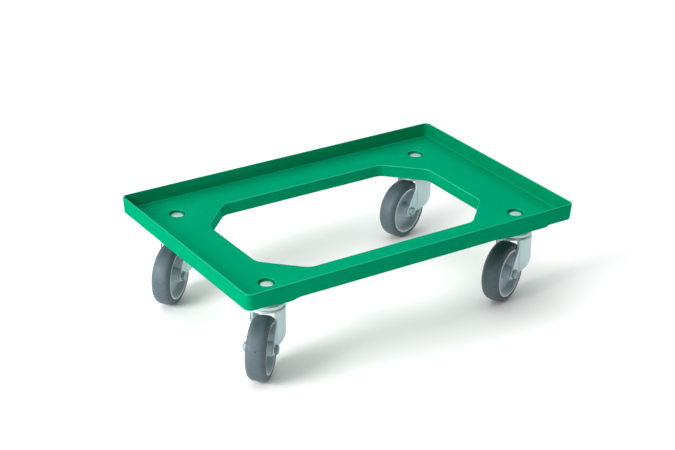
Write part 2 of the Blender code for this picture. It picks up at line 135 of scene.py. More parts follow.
# Castor head and balls
SWIVEL_RADIUS = 0.029
CROWN_TOP = 0.107
CROWN_DOME = 0.003
CROWN_SHOULDER = 0.004
CROWN_BORE = 0.0102
# Where the crown's raised middle starts to slope down and where it ends, by radius
DOME_OUTSIDE = (0.0172, 0.0192)
DOME_INSIDE = (0.0159, 0.0180)
HEAD_SHEET = 0.0024
HEAD_RADIUS = 0.028
HEAD_FLAT_RADIUS = 0.0190
HEAD_NECK = (0.0205, 0.1170)
HEAD_SHOULDER = (0.0262, 0.1148)
HEAD_SIDE_TOP = 0.1125
HEAD_LIP = 0.1079
# The same bends inside the plate
HEAD_INNER_FLAT_RADIUS = 0.0170
HEAD_INNER_SHOULDER = (0.0184, 0.1147)
HEAD_INNER_SIDE_TOP = 0.1128
KINGPIN_RADIUS = 0.0082
KINGPIN_FLANGE_RADIUS = 0.0158
LOWER_RACE_TOP = 0.1018
LOWER_RACE_BOTTOM = 0.0998
# Rings of balls: (ring radius, height, ball radius, how many)
UPPER_BALLS = (0.0226, 0.1099, 0.0022, 30)
LOWER_BALLS = (0.0126, 0.10465, 0.0020, 18)
# Fork
SHEET = 0.0025
LEG_INNER = 0.01825
LEG_OUTER = LEG_INNER + SHEET
LEG_END_RADIUS = 0.009
# Where the leg's round end starts and stops, in degrees about the axle
LEG_END_ARC = (250, 393)
LEG_TOP = 0.1035
LEG_LAP = 0.001
LEG_PLATE_START = 0.0175
LEG_PLATE_BOTTOM = 0.0472
CUP_BELOW_LEG = 0.002
FRONT_EDGE = 0.0210
FRONT_BEND = 0.0900
REAR_EDGE = -0.0205
# The cup's lower edge from front to rear: (x, height, edge radius)
CUP_EDGE = ((FRONT_EDGE + LEG_LAP, 0.0452, 0), (0.010, 0.0515, 0.012), (-0.010, 0.0630, 0.020),
            (REAR_EDGE, 0.0725, 0.008))
SHEET_EDGE = 0.0004
# Wheel and axle
AXLE_HEAD = 0.0053
AXLE_NUT = 0.0060
AXLE_OVERHANG = 0.0080
AXLE_DISH = 0.0004
AXLE_DISH_RADIUS = 0.0040
AXLE_DISH_TOP_RADIUS = 0.0046
SLEEVE_RADIUS = 0.006
SLEEVE_PLAY = 0.0004
RIM_RADIUS = 0.040
RIM_HALF = 0.015
RIM_INNER_RADIUS = 0.0362
# Painted highlight on the wheel centre's rim lip: where it starts, by radius, and how far it
# blends in
LIP_HIGHLIGHT_RADIUS = 0.0383
LIP_HIGHLIGHT_BLEND = 0.0003
WEB_HALF = 0.003
WEB_OUTER_RADIUS = 0.0345
WEB_INNER_RADIUS = 0.0118
HUB_END_RADIUS = 0.011
HUB_END_GAP = 0.0007
TYRE_HALF = 0.01565
TYRE_SHOULDER = 0.0088
TYRE_CROWN = 0.0012
# The tread's middle corner: how far it stands out, and the radius that rounds it off
TYRE_PEAK = 0.00015
TYRE_CURVE = 0.06
# The tyre's inner edge: (past the rim's radius, past its side, edge radius)
TYRE_EDGE = ((GAP, -0.0006, 0.0004), (0.0010, 0.0004, 0.0006))
TYRE_SIDE_START = 0.0024
# The tyre's moulding mark: a round dent, off the tread's middle
MARK_ANGLE = 22.0
MARK_RADIUS = 0.0018
MARK_OFFSET = 0.0019
MARK_STANDOFF = 0.0005
# How far each wheel has rolled, in degrees
ROLLED = {"front_left": 0.0, "front_right": 180.0, "rear_left": 180.0, "rear_right": 180.0}
# How far a cutter reaches past what it cuts
PAST = 0.04
# How far off a profile's two end corners are: they are left out and only aim the rest
AWAY = 0.004
# Facets
ARC_STEPS = 5
BALL_DETAIL = 3
BOSS_STEPS = 64
CORNER_STEPS = 8
GATE_STEPS = 32
HOLE_STEPS = 32
LEG_END_STEPS = 24
MARK_DETAIL = 4
OPENING_STEPS = 10
RAMP_STEPS = 8
ROUND_STEPS = 96
SMALL_STEPS = 48
THREAD_STEPS = 8
WHEEL_STEPS = 160
# Edges that turn by more than this stay sharp, in degrees
SHARP = 32
SHARP_DECK = 40
SHARP_BEVELLED = 50
BEVEL_FROM = 30

PLATE_BOTTOM = LOAD_FACE - PLATE
LOCK_NUT_TOP = LOWER_RACE_BOTTOM - WASHER - 2 * GAP

# ----------------------------------------------------- looks: places and colours
# Painted highlight on the deck's rounded upper edges: how strong, and where it starts and
# stops: by how far up they face (0 sideways, 1 straight up), by height, and by depth below
# the rim's top
EDGE_HIGHLIGHT = 0.5
EDGE_HIGHLIGHT_FACING_IN = (0.15, 0.35)
EDGE_HIGHLIGHT_FACING_OUT = (0.93, 0.99)
EDGE_HIGHLIGHT_HEIGHT_IN = (LOAD_FACE - 0.0024, LOAD_FACE - 0.0018)
EDGE_HIGHLIGHT_HEIGHT_OUT = (LOAD_FACE + 0.00005, LOAD_FACE + 0.0002)
EDGE_HIGHLIGHT_RIM_DEPTH = (0.0008, 0.0003)
# Colours, linear
GREEN = (0.000, 0.270, 0.121)
GREEN_DEEP = (0.000, 0.247, 0.110)
GREEN_PALE = (0.004, 0.380, 0.215)
# Painted highlight colour of the deck's rounded upper edges
GREEN_HIGHLIGHT = (0.060, 0.560, 0.380)
GREEN_SHEEN = (0.0, 1.0, 0.9)
ZINC = (0.56, 0.72, 0.75)
ZINC_TINT = (0.60, 0.75, 0.77)
BOLT = (0.38, 0.51, 0.48)
BOLT_TINT = (0.33, 0.46, 0.45)
AXLE_ZINC = (0.32, 0.45, 0.46)
AXLE_TINT = (0.27, 0.39, 0.41)
STEEL = (0.55, 0.56, 0.58)
STEEL_TINT = (0.46, 0.46, 0.47)
GREY = (0.48, 0.56, 0.60)
GREY_DEEP = (0.42, 0.50, 0.54)
# Painted highlight colour of the rim's lip
GREY_LIP_HIGHLIGHT = (0.84, 0.88, 0.88)
RUBBER = (0.082, 0.120, 0.142)
RUBBER_DEEP = (0.064, 0.099, 0.119)
RUBBER_DUST = (0.14, 0.175, 0.196)
FLOOR = (0.96, 0.96, 0.955)

# ------------------------------------------- values for camera, light and stage
CAMERA_AZIMUTH = -33.1609
CAMERA_ELEVATION = 25.5468
CAMERA_ROLL = 0.7183
CAMERA_DISTANCE = 2.6215
CAMERA_LOOKS_AT = (-0.0656, -0.0723)
LENS = 89.21
# Light panels: (name, place, width, height, watts, colour)
LIGHTS = (
    ("key", (-2.35, -0.20, 1.18), 1.1, 0.9, 63.0, (1.0, 0.99, 0.97)),
    ("top", (-0.1, 0.4, 2.6), 3.8, 3.8, 37.0, (0.98, 0.99, 1.0)),
)
# The studio is bright behind the trolley and dim behind the camera
BRIGHT_SIDE = (0.25, 0.90, 0.35)
WORLD_STRENGTH = (0.08, 1.2)
WORLD_BLEND = (-0.6, 0.8)
FLOOR_SIZE = 14.0
FLOOR_DROP = 0.0005

# ------------------------------------------------------------ read from the frame
_, deck_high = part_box("deck")
HALF_LENGTH = deck_high.x
HALF_WIDTH = deck_high.y
RIM_TOP = deck_high.z


def castor_frames():
    """For each corner: where the swivel axis meets the floor, and the wheel's axle."""
    joints = {joint["name"]: joint for joint in frame["joints"]}
    found = {}
    for name, joint in joints.items():
        if name.endswith("_swivel"):
            corner = name[:-len("_swivel")]
            swivel = Vector(joint["pos_m"])
            axle = Vector(joints[corner + "_wheel_spin"]["pos_m"])
            found[corner] = (Vector((swivel.x, swivel.y, 0.0)), axle)
    return found


CASTORS = castor_frames()
SOME_MOUNT, SOME_AXLE = CASTORS["front_left"]
AXLE_HEIGHT = SOME_AXLE.z
TRAIL = (SOME_AXLE - SOME_MOUNT).xy.length
WHEEL_RADIUS = AXLE_HEIGHT


# ------------------------------------------------------------------ mesh making
def rounded(corners, closed=True, steps=ARC_STEPS):
    """The chain through (x, y, radius) corners, with each corner rounded by its radius."""
    points = []
    count = len(corners)
    for i, (x, y, radius) in enumerate(corners):
        end = not closed and i in (0, count - 1)
        if radius == 0 or end:
            points.append((x, y))
            continue
        here = Vector((x, y))
        back = (Vector(corners[i - 1][:2]) - here).normalized()
        ahead = (Vector(corners[(i + 1) % count][:2]) - here).normalized()
        half = back.angle(ahead) / 2
        centre = here + (back + ahead).normalized() * (radius / math.sin(half))
        start = here + back * (radius / math.tan(half)) - centre
        stop = here + ahead * (radius / math.tan(half)) - centre
        sweep = math.atan2(start.cross(stop), start.dot(stop))
        for k in range(steps + 1):
            point = centre + Matrix.Rotation(sweep * k / steps, 2) @ start
            points.append((point.x, point.y))
    return points


def arc(centre, radius, start, end, steps):
    """Points on a circle from one angle to another, both in degrees."""
    angles = [math.radians(start + (end - start) * i / steps) for i in range(steps + 1)]
    return [(centre[0] + radius * math.cos(a), centre[1] + radius * math.sin(a)) for a in angles]


def strip(body, rings, wrap=False):
    """Faces between rings of points, each ring a loop; a ring of one point is a pole.
    Returns the rings as vertices."""
    loops = [[body.verts.new(point) for point in points] for points in rings]
    pairs = list(zip(loops, loops[1:]))
    if wrap:
        pairs.append((loops[-1], loops[0]))
    for low, high in pairs:
        count = max(len(low), len(high))
        for i in range(count):
            j = (i + 1) % count
            if len(low) == 1:
                body.faces.new((low[0], high[i], high[j]))
            elif len(high) == 1:
                body.faces.new((low[i], low[j], high[0]))
            else:
                body.faces.new((low[i], low[j], high[j], high[i]))
    return loops


def fill(body, loops):
    """A flat face with holes, between loops of vertices."""
    edges = []
    for loop in loops:
        for i, vertex in enumerate(loop):
            edges.append(body.edges.get((vertex, loop[(i + 1) % len(loop)])))
    bmesh.ops.triangle_fill(body, use_beauty=True, use_dissolve=False, edges=edges)


def mesh_from(body, name, sharp=SHARP):
    """The finished mesh of a bmesh: faces outwards, smooth, with sharp edges kept."""
    bmesh.ops.recalc_face_normals(body, faces=body.faces)
    mesh = bpy.data.meshes.new(name)
    body.to_mesh(mesh)
    body.free()
    mesh.shade_smooth()
    mesh.set_sharp_from_angle(angle=math.radians(sharp))
    return mesh


def ring(radius, height, steps=ROUND_STEPS):
    """A level circle of points, or one point on the axis."""
    if radius == 0:
        return [(0.0, 0.0, height)]
    return [(x, y, height) for x, y in arc((0, 0), radius, 0, 360, steps)[:-1]]


def lathe(name, corners, closed=True, steps=ROUND_STEPS):
    """A profile of (radius, height, edge radius) corners, turned round Z."""
    body = bmesh.new()
    profile = rounded(corners, closed)
    strip(body, [ring(radius, height, steps) for radius, height in profile], wrap=closed)
    return mesh_from(body, name)


def thread_ring(height, base, steps):
    """A ring of a screw thread: the radius follows a helix of V grooves below base."""
    points = []
    for i in range(steps):
        turn = i / steps
        phase = (height / THREAD_PITCH - turn) % 1.0
        radius = base - THREAD_DEPTH * abs(2 * phase - 1)
        angle = math.tau * turn
        points.append((radius * math.cos(angle), radius * math.sin(angle), height))
    return points


def threaded_end(top, tip, steps):
    """Rings down a bolt's threaded end, to a chamfered tip closed on the axis."""
    rings = []
    count = round((top - tip) / THREAD_PITCH * THREAD_STEPS)
    for k in range(count + 1):
        height = top + (tip - top) * k / count
        base = min(BOLT_RADIUS, BOLT_RADIUS - TIP_CHAMFER + (height - tip))
        rings.append(thread_ring(height, base, steps))
    return rings + [ring(0, tip)]


def hexagon_radius(angle, across):
    """A hexagon's reach at an angle in radians; its flats are across apart."""
    sixth = math.tau / 6
    return across / 2 / math.cos((angle % sixth) - sixth / 2)


def hexagon_ring(across, height, chamfer_from=math.inf):
    """A hexagonal ring; with a chamfer, it dips where it reaches past that radius."""
    points = []
    for i in range(ROUND_STEPS):
        angle = math.tau * i / ROUND_STEPS
        radius = hexagon_radius(angle, across)
        dip = max(0.0, radius - chamfer_from) * CHAMFER_SLOPE
        points.append((radius * math.cos(angle), radius * math.sin(angle), height - dip))
    return points


def hexagon_end(top):
    """Rings out over a hexagon's flat end and its chamfered corners."""
    inner = HEXAGON / 2 - HEXAGON_INSET
    across = HEXAGON - 2 * HEXAGON_INSET
    return [ring(inner, top), hexagon_ring(across, top - HEXAGON_EDGE, inner),
            hexagon_ring(HEXAGON, top - HEXAGON_CHAMFER, inner)]


def nut(name, low, high):
    """A hexagon nut with chamfered corners and a chamfered bore."""
    body = bmesh.new()
    upper = [ring(BORE, high - BORE_CHAMFER_DEPTH), ring(BORE + BORE_CHAMFER, high)]
    upper += hexagon_end(high)
    lower = [[(x, y, low + high - z) for x, y, z in points] for points in reversed(upper)]
    strip(body, upper + lower, wrap=True)
    return mesh_from(body, name)


def side_profile(outline, low, high):
    """A closed prism with its outline in XZ, across Y from low to high."""
    body = bmesh.new()
    for loop in strip(body, [[(x, z, -y) for x, z in outline] for y in (high, low)]):
        body.faces.new(loop)
    bmesh.ops.transform(body, matrix=Matrix.Rotation(math.pi / 2, 4, "X"), verts=body.verts)
    bmesh.ops.recalc_face_normals(body, faces=body.faces)
    mesh = bpy.data.meshes.new("prism")
    body.to_mesh(mesh)
    body.free()
    return mesh


def temporary(mesh):
    """An object that carries a mesh through its modifiers."""
    obj = bpy.data.objects.new("temporary", mesh)
    bpy.context.scene.collection.objects.link(obj)
    return obj


def baked(obj, name):
    """The object's shape with its modifiers, as a new mesh; the object is removed."""
    bpy.context.view_layer.update()
    shape = obj.evaluated_get(bpy.context.evaluated_depsgraph_get())
    mesh = bpy.data.meshes.new_from_object(shape)
    mesh.name = name
    bpy.data.objects.remove(obj, do_unlink=True)
    return mesh


def combined(mesh, other, operation):
    """Two meshes joined or cut by an exact Boolean, as a new mesh."""
    base = temporary(mesh)
    tool = temporary(other)
    step = base.modifiers.new("step", "BOOLEAN")
    step.operation = operation
    step.object = tool
    step.solver = "EXACT"
    result = baked(base, mesh.name)
    bpy.data.objects.remove(tool, do_unlink=True)
    return result


def bevelled(mesh, width, segments):
    """The mesh with its edges rounded."""
    base = temporary(mesh)
    step = base.modifiers.new("edges", "BEVEL")
    step.width = width
    step.segments = segments
    step.limit_method = "ANGLE"
    step.angle_limit = math.radians(BEVEL_FROM)
    step.use_clamp_overlap = False
    result = baked(base, mesh.name)
    result.shade_smooth()
    result.set_sharp_from_angle(angle=math.radians(SHARP_BEVELLED))
    return result


# ------------------------------------------------------------------------- deck
def eased(value, start, end):
    """0 before start, 1 after end, and smooth between."""
    t = min(1.0, max(0.0, (value - start) / (end - start)))
    return t * t * (3 - 2 * t)


def between(low, high, share):
    """The value a share of the way from low to high."""
    return low + (high - low) * share


def wall_bottom(x, y):
    """Height of the outer wall's lower edge at a point of the deck's outline."""
    if abs(x) > HALF_LENGTH - 2 * CORNER_RADIUS:
        return between(END_WALL_BOTTOM, CORNER_BOTTOM, eased(abs(y), *END_RAMP))
    ramp = RIGHT_RAMP if x > 0 else LEFT_RAMP
    height = between(LONG_WALL_BOTTOM, LOBE_BOTTOM, eased(abs(x), *ramp))
    return between(height, CORNER_BOTTOM, eased(abs(x), *CORNER_RAMP))


def stations(ramps):
    """Where a straight wall gets points: along each ramp and at its ends."""
    found = set()
    for start, end in ramps:
        for k in range(RAMP_STEPS + 1):
            found.add(round(between(start, end, k / RAMP_STEPS), 6))
    return sorted(found)


LONG_STATIONS = stations([(-x1, -x0) for x0, x1 in (LEFT_RAMP, CORNER_RAMP)] +
                         [RIGHT_RAMP, CORNER_RAMP])
SHORT_STATIONS = stations([END_RAMP, (-END_RAMP[1], -END_RAMP[0])])


def wall_draft(height):
    """How far the outer wall leans in at a height."""
    return WALL_DRAFT * (RIM_TOP - height)


def wall_path():
    """The deck's outline, anticlockwise, as functions that place a point by how far in
    it is and by the corner radius there."""
    def on_corner(sx, sy, angle):
        def place(inset, radius):
            x = sx * (HALF_LENGTH - inset - radius) + radius * math.cos(angle)
            y = sy * (HALF_WIDTH - inset - radius) + radius * math.sin(angle)
            return x, y
        return place

    def on_end(side, y):
        return lambda inset, radius: (side * (HALF_LENGTH - inset), y)

    def on_side(side, x):
        return lambda inset, radius: (x, side * (HALF_WIDTH - inset))

    path = []
    corners = ((1, -1), (1, 1), (-1, 1), (-1, -1))
    for quarter, (sx, sy) in enumerate(corners):
        for k in range(CORNER_STEPS + 1):
            angle = math.radians(90 * (quarter - 1 + k / CORNER_STEPS))
            path.append(on_corner(sx, sy, angle))
        if quarter % 2 == 0:
            path += [on_end(sx, sx * y) for y in SHORT_STATIONS]
        else:
            path += [on_side(sy, x) for x in LONG_STATIONS[::-sy]]
    return path


def wall_rings():
    """Rings from the load face over the rim and round under the plate."""
    columns = []
    for place in wall_path():
        bottom = wall_bottom(*place(0.0, CORNER_RADIUS))
        # two fillets of this radius have to fit between the lower edge and the plate
        inner = min(UNDER_FILLET, (PLATE_BOTTOM - bottom) * 0.45)
        tray = WALL + wall_draft(LOAD_FACE)
        under = WALL + wall_draft(PLATE_BOTTOM)
        section = rounded([
            (tray + AWAY, LOAD_FACE, 0), (tray, LOAD_FACE, 0.0020), (WALL, RIM_TOP, 0.0012),
            (0.0, RIM_TOP, 0.0020), (wall_draft(bottom), bottom, 0.0010),
            (WALL + wall_draft(bottom), bottom, inner), (under, PLATE_BOTTOM, inner),
            (under + AWAY, PLATE_BOTTOM, 0),
        ], closed=False)[1:-1]
        column = []
        for inset, height in section:
            radius = CORNER_RADIUS - (inset - wall_draft(height))
            column.append((*place(inset, radius), height))
        columns.append(column)
    return [list(points) for points in zip(*columns)]


def opening_outline(grow):
    """The central opening: a rectangle with cut, rounded corners, grown outwards."""
    x = OPENING_LENGTH / 2 + grow
    y = OPENING_WIDTH / 2 + grow
    back = OPENING_CHAMFER + grow * (2 - math.sqrt(2))
    radius = OPENING_RADIUS + grow
    corners = [(x, -y + back), (x, y - back), (x - back, y), (-x + back, y),
               (-x, y - back), (-x, -y + back), (-x + back, -y), (x - back, -y)]
    return rounded([(a, b, radius) for a, b in corners], steps=OPENING_STEPS)


def opening_rings():
    """Rings from the load face down the opening's flange and up to the plate."""
    section = rounded([
        (AWAY, LOAD_FACE, 0), (0.0, LOAD_FACE, 0.0012), (0.0, FLANGE_BOTTOM, 0.0009),
        (FLANGE, FLANGE_BOTTOM, 0.0009), (FLANGE, PLATE_BOTTOM, 0.0015),
        (FLANGE + AWAY, PLATE_BOTTOM, 0),
    ], closed=False)[1:-1]
    return [[(x, y, height) for x, y in opening_outline(grow)] for grow, height in section]


def boss_rings(mount):
    """Rings down a bolt recess and its bore, and back up the boss below it."""
    pocket = BOSS_RADIUS - BOSS_WALL
    section = rounded([
        (RECESS_RADIUS + AWAY, LOAD_FACE, 0), (RECESS_RADIUS, LOAD_FACE, 0.0006),
        (RECESS_RADIUS, RECESS_FLOOR, 0.0005), (BORE, RECESS_FLOOR, 0.0002),
        (BORE, BOSS_BOTTOM, 0.0003), (HUB_RADIUS, BOSS_BOTTOM, 0.0005),
        (HUB_RADIUS, BOSS_POCKET_TOP, 0.0010), (pocket, BOSS_POCKET_TOP, 0.0010),
        (pocket, BOSS_BOTTOM, 0.0006), (BOSS_RADIUS, BOSS_BOTTOM, 0.0006),
        (BOSS_RADIUS, PLATE_BOTTOM, 0.0015), (BOSS_RADIUS + AWAY, PLATE_BOTTOM, 0),
    ], closed=False)[1:-1]
    rings = []
    for radius, height in section:
        circle = ring(radius, height, BOSS_STEPS)
        rings.append([(mount.x + x, mount.y + y, z) for x, y, z in circle])
    return rings


def deck_shell():
    """The deck without its ribs: three kinds of skin joined by the plate's two faces."""
    body = bmesh.new()
    loops = [strip(body, wall_rings()), strip(body, opening_rings())]
    loops += [strip(body, boss_rings(mount)) for mount, _ in CASTORS.values()]
    fill(body, [skin[0] for skin in loops])
    fill(body, [skin[-1] for skin in loops])
    return mesh_from(body, "deck_visual", sharp=SHARP_DECK)


def rib(start, end, bottom_start, bottom_end, middle=None):
    """A straight rib below the plate, with its lower edges rounded.  Its lower edge
    slopes between two heights, or runs level at a middle height between two slopes."""
    start = Vector(start)
    end = Vector(end)
    length = (end - start).length
    top = LOAD_FACE - PLATE / 2
    lower = [(0, bottom_start), (length, bottom_end)]
    if middle is not None:
        lower[1:1] = [(RIB_SLOPE, middle), (length - RIB_SLOPE, middle)]
    mesh = side_profile(lower + [(length, top), (0, top)], -RIB / 2, RIB / 2)
    heading = math.atan2(end.y - start.y, end.x - start.x)
    mesh.transform(Matrix.Translation((start.x, start.y, 0)) @ Matrix.Rotation(heading, 4, "Z"))
    return bevelled(mesh, RIB_EDGE, segments=2)


def ribs():
    """Ribs between the opening's flange, the castor bosses and the outer wall."""
    flange_x = OPENING_LENGTH / 2 + FLANGE / 2
    flange_y = OPENING_WIDTH / 2 + FLANGE / 2
    wall_x = HALF_LENGTH - WALL
    wall_y = HALF_WIDTH - WALL
    middle = OPENING_CHAMFER / 2
    made = []
    for side in (-1, 1):
        y = side * (flange_y + wall_y) / 2
        made.append(rib((-wall_x, y), (wall_x, y), RIB_AT_WALL, RIB_AT_WALL, RIB_BOTTOM))
        for x in LONG_SIDE_RIBS:
            inner, outer = (x, side * flange_y), (x, side * wall_y)
            made.append(rib(inner, outer, RIB_AT_FLANGE, RIB_AT_WALL))
        x = side * (flange_x + wall_x) / 2
        made.append(rib((x, -wall_y), (x, wall_y), RIB_AT_WALL, RIB_AT_WALL, RIB_BOTTOM))
        for y in SHORT_SIDE_RIBS:
            inner, outer = (side * flange_x, y), (side * wall_x, y)
            made.append(rib(inner, outer, RIB_AT_FLANGE, RIB_AT_WALL))
    for mount, _ in CASTORS.values():
        right = math.copysign(1, mount.x)
        rear = math.copysign(1, mount.y)
        inner = (right * (flange_x - middle), rear * (flange_y - middle))
        outer = (right * (wall_x - CORNER_RIB_INSET), rear * (wall_y - CORNER_RIB_INSET))
        reach = BOSS_RADIUS - BOSS_WALL / 2
        near = mount.xy + (Vector(inner) - mount.xy).normalized() * reach
        far = mount.xy + (Vector(outer) - mount.xy).normalized() * reach
        made.append(rib(inner, near, RIB_AT_FLANGE, RIB_AT_FLANGE))
        made.append(rib(far, outer, RIB_AT_FLANGE, RIB_AT_WALL))
    return made


def gate_mark():
    """The moulding's gate: a low round pip on the near wall."""
    pip = lathe("gate_mark", [
        (0, -GATE_SINK, 0), (GATE_RADIUS, -GATE_SINK, 0), (GATE_RADIUS, 0.0, 0),
        (GATE_TOP_RADIUS, GATE_SHOULDER, 0), (0, GATE_RISE, 0),
    ], closed=False, steps=GATE_STEPS)
    x, height = GATE_MARK
    place = Matrix.Translation((x, -HALF_WIDTH + wall_draft(height), height))
    pip.transform(place @ Matrix.Rotation(math.pi / 2, 4, "X"))
    return pip


def deck_mesh():
    """The shell with its ribs and gate mark joined on, as one mesh."""
    body = bmesh.new()
    body.from_mesh(deck_shell())
    body.from_mesh(gate_mark())
    for mesh in ribs():
        body.from_mesh(mesh)
    mesh = bpy.data.meshes.new("deck_visual")
    body.to_mesh(mesh)
    body.free()
    mesh.shade_smooth()
    mesh.set_sharp_from_angle(angle=math.radians(SHARP_DECK))
    return mesh


# ---------------------------------------------------------------- castor, fixed
def mount_bolt_mesh():
    """Low round-head bolt with a threaded end."""
    seat = RECESS_FLOOR + GAP
    top = [(radius, seat + rise, edge) for radius, rise, edge in BOLT_HEAD_TOP]
    head = rounded(top + [
        (BOLT_HEAD_RADIUS, seat, 0.0002), (BOLT_RADIUS, seat, 0.0003),
        (BOLT_RADIUS, seat - BOLT_NECK, 0),
    ], closed=False)
    rings = [ring(radius, height, SMALL_STEPS) for radius, height in head]
    rings += threaded_end(LOWER_RACE_BOTTOM, BOLT_TIP, SMALL_STEPS)
    body = bmesh.new()
    strip(body, rings)
    return mesh_from(body, "mount_bolt")


def head_plate_mesh():
    """The castor's fixed top plate, with a turned-down cup round the upper balls."""
    top = BOSS_BOTTOM - GAP
    bore = KINGPIN_RADIUS + GAP
    inner = HEAD_RADIUS - HEAD_SHEET
    return lathe("head_plate", [
        (bore, top, 0.0003), (HEAD_FLAT_RADIUS, top, 0.0020), (*HEAD_NECK, 0.0020),
        (*HEAD_SHOULDER, 0.0016), (HEAD_RADIUS, HEAD_SIDE_TOP, 0.0012),
        (HEAD_RADIUS, HEAD_LIP, 0.0004), (inner, HEAD_LIP, 0.0004),
        (inner, HEAD_INNER_SIDE_TOP, 0.0010), (*HEAD_INNER_SHOULDER, 0.0010),
        (HEAD_INNER_FLAT_RADIUS, top - HEAD_SHEET, 0.0010), (bore, top - HEAD_SHEET, 0.0003),
    ])


def kingpin_mesh():
    """Hollow pin through the head, with a flange that carries the lower balls."""
    top = BOSS_BOTTOM - 2 * GAP
    return lathe("kingpin", [
        (BORE, top, 0.0003), (KINGPIN_RADIUS, top, 0.0004),
        (KINGPIN_RADIUS, LOWER_RACE_TOP, 0.0008), (KINGPIN_FLANGE_RADIUS, LOWER_RACE_TOP, 0.0004),
        (KINGPIN_FLANGE_RADIUS, LOWER_RACE_BOTTOM, 0.0006), (BORE, LOWER_RACE_BOTTOM, 0.0003),
    ])


def washer_mesh():
    """Flat washer between the kingpin's flange and the lock nut."""
    top = LOWER_RACE_BOTTOM - GAP
    low = top - WASHER
    return lathe("washer", [
        (BORE, top, 0.0002), (WASHER_RADIUS, top, 0.0004), (WASHER_RADIUS, low, 0.0002),
        (BORE, low, 0.0002),
    ])


def lock_nut_mesh():
    """Lock nut, its rounded collar towards the bolt's tip."""
    low = LOCK_NUT_TOP - LOCK_NUT
    collar_high = low + COLLAR + COLLAR_OVERLAP
    body = bmesh.new()
    body.from_mesh(nut("lock_nut", low + COLLAR, LOCK_NUT_TOP))
    body.from_mesh(lathe("collar", [
        (BORE, collar_high, 0), (COLLAR_RADIUS, collar_high, 0),
        (COLLAR_RADIUS, low, 0.0010), (BORE, low, 0.0003),
    ]))
    return mesh_from(body, "lock_nut")


# -------------------------------------------------------------- castor, swivels
def ball_ring_mesh(name, radius, height, ball, count):
    """A ring of separate balls."""
    body = bmesh.new()
    for i in range(count):
        angle = math.tau * i / count
        place = Matrix.Translation((radius * math.cos(angle), radius * math.sin(angle), height))
        bmesh.ops.create_icosphere(body, subdivisions=BALL_DETAIL, radius=ball, matrix=place)
    return mesh_from(body, name)


def upper_ball_ring_mesh():
    return ball_ring_mesh("upper_ball_ring", *UPPER_BALLS)


def lower_ball_ring_mesh():
    return ball_ring_mesh("lower_ball_ring", *LOWER_BALLS)


def fork_cup():
    """Crown and round skirt, turned about the swivel axis."""
    dome = CROWN_TOP + CROWN_DOME
    bottom = AXLE_HEIGHT - LEG_END_RADIUS - CUP_BELOW_LEG
    outer = SWIVEL_RADIUS
    inner = SWIVEL_RADIUS - SHEET
    profile = rounded([
        (CROWN_BORE, dome, 0), (DOME_OUTSIDE[0], dome, 0.0012),
        (DOME_OUTSIDE[1], CROWN_TOP, 0.0012), (outer, CROWN_TOP, CROWN_SHOULDER),
        (outer, bottom, 0), (inner, bottom, 0),
        (inner, CROWN_TOP - SHEET, CROWN_SHOULDER - SHEET),
        (DOME_INSIDE[1], CROWN_TOP - SHEET, 0.0008), (DOME_INSIDE[0], dome - SHEET, 0.0008),
        (CROWN_BORE, dome - SHEET, 0),
    ])
    body = bmesh.new()
    strip(body, [ring(radius, height) for radius, height in profile], wrap=True)
    return mesh_from(body, "fork")


def fork_mesh():
    """Pressed-steel fork: the cup is cut to the legs' side view, and two flat plates
    carry the legs on past it to the axle."""
    axle = (TRAIL, AXLE_HEIGHT)
    below = AXLE_HEIGHT - 2 * LEG_END_RADIUS
    above = LEG_TOP + LEG_LAP
    front = [(FRONT_EDGE, below), (PAST, below), (PAST, LEG_TOP), (FRONT_EDGE, LEG_TOP)]
    rear = rounded([
        (-PAST, LEG_TOP, 0), (-PAST, below, 0), (FRONT_EDGE + LEG_LAP, below, 0), *CUP_EDGE,
        (REAR_EDGE, LEG_TOP, 0),
    ])
    leg = [(LEG_PLATE_START, LEG_PLATE_BOTTOM)]
    leg += arc(axle, LEG_END_RADIUS, *LEG_END_ARC, LEG_END_STEPS)
    leg += [(FRONT_EDGE, FRONT_BEND), (FRONT_EDGE, above), (LEG_PLATE_START, above)]
    hole = arc(axle, BORE, 0, 360, HOLE_STEPS)[:-1]
    fork = combined(fork_cup(), side_profile(front, -PAST, PAST), "DIFFERENCE")
    fork = combined(fork, side_profile(rear, -PAST, PAST), "DIFFERENCE")
    fork = combined(fork, side_profile(leg, LEG_INNER, LEG_OUTER), "UNION")
    fork = combined(fork, side_profile(leg, -LEG_OUTER, -LEG_INNER), "UNION")
    fork = combined(fork, side_profile(hole, -PAST, PAST), "DIFFERENCE")
    fork.name = "fork"
    return bevelled(fork, SHEET_EDGE, segments=3)


# The axle's pieces and the wheel are made about their own Z axis, which the axle's frame
# turns into the castor's Y.
def axle_bolt_mesh():
    """Hexagon bolt with a chamfered, slightly dished head and a threaded end."""
    seat = LEG_OUTER + GAP
    top = seat + AXLE_HEAD
    rings = [ring(0, top - AXLE_DISH), ring(AXLE_DISH_RADIUS, top - AXLE_DISH),
             ring(AXLE_DISH_TOP_RADIUS, top), *hexagon_end(top),
             hexagon_ring(HEXAGON, seat + HEXAGON_EDGE),
             hexagon_ring(HEXAGON - 2 * HEXAGON_INSET, seat), ring(BOLT_RADIUS, seat)]
    rings += threaded_end(-LEG_INNER, -(LEG_OUTER + AXLE_OVERHANG), ROUND_STEPS)
    body = bmesh.new()
    strip(body, rings)
    return mesh_from(body, "axle_bolt")


def axle_nut_mesh():
    """The axle bolt's nut, against the other leg."""
    seat = -(LEG_OUTER + GAP)
    return nut("axle_nut", seat - AXLE_NUT, seat)


def axle_sleeve_mesh():
    """Spacer tube between the fork's legs, which the wheel turns on."""
    half = LEG_INNER - GAP
    return lathe("axle_sleeve", [
        (BORE, half, 0.0002), (SLEEVE_RADIUS, half, 0.0004), (SLEEVE_RADIUS, -half, 0.0004),
        (BORE, -half, 0.0002),
    ])


def mirrored(upper, middle=()):
    """A profile's upper half, its middle corners, and the upper half's mirror image."""
    lower = [(radius, -height, edge) for radius, height, edge in reversed(upper)]
    return [*upper, *middle, *lower]


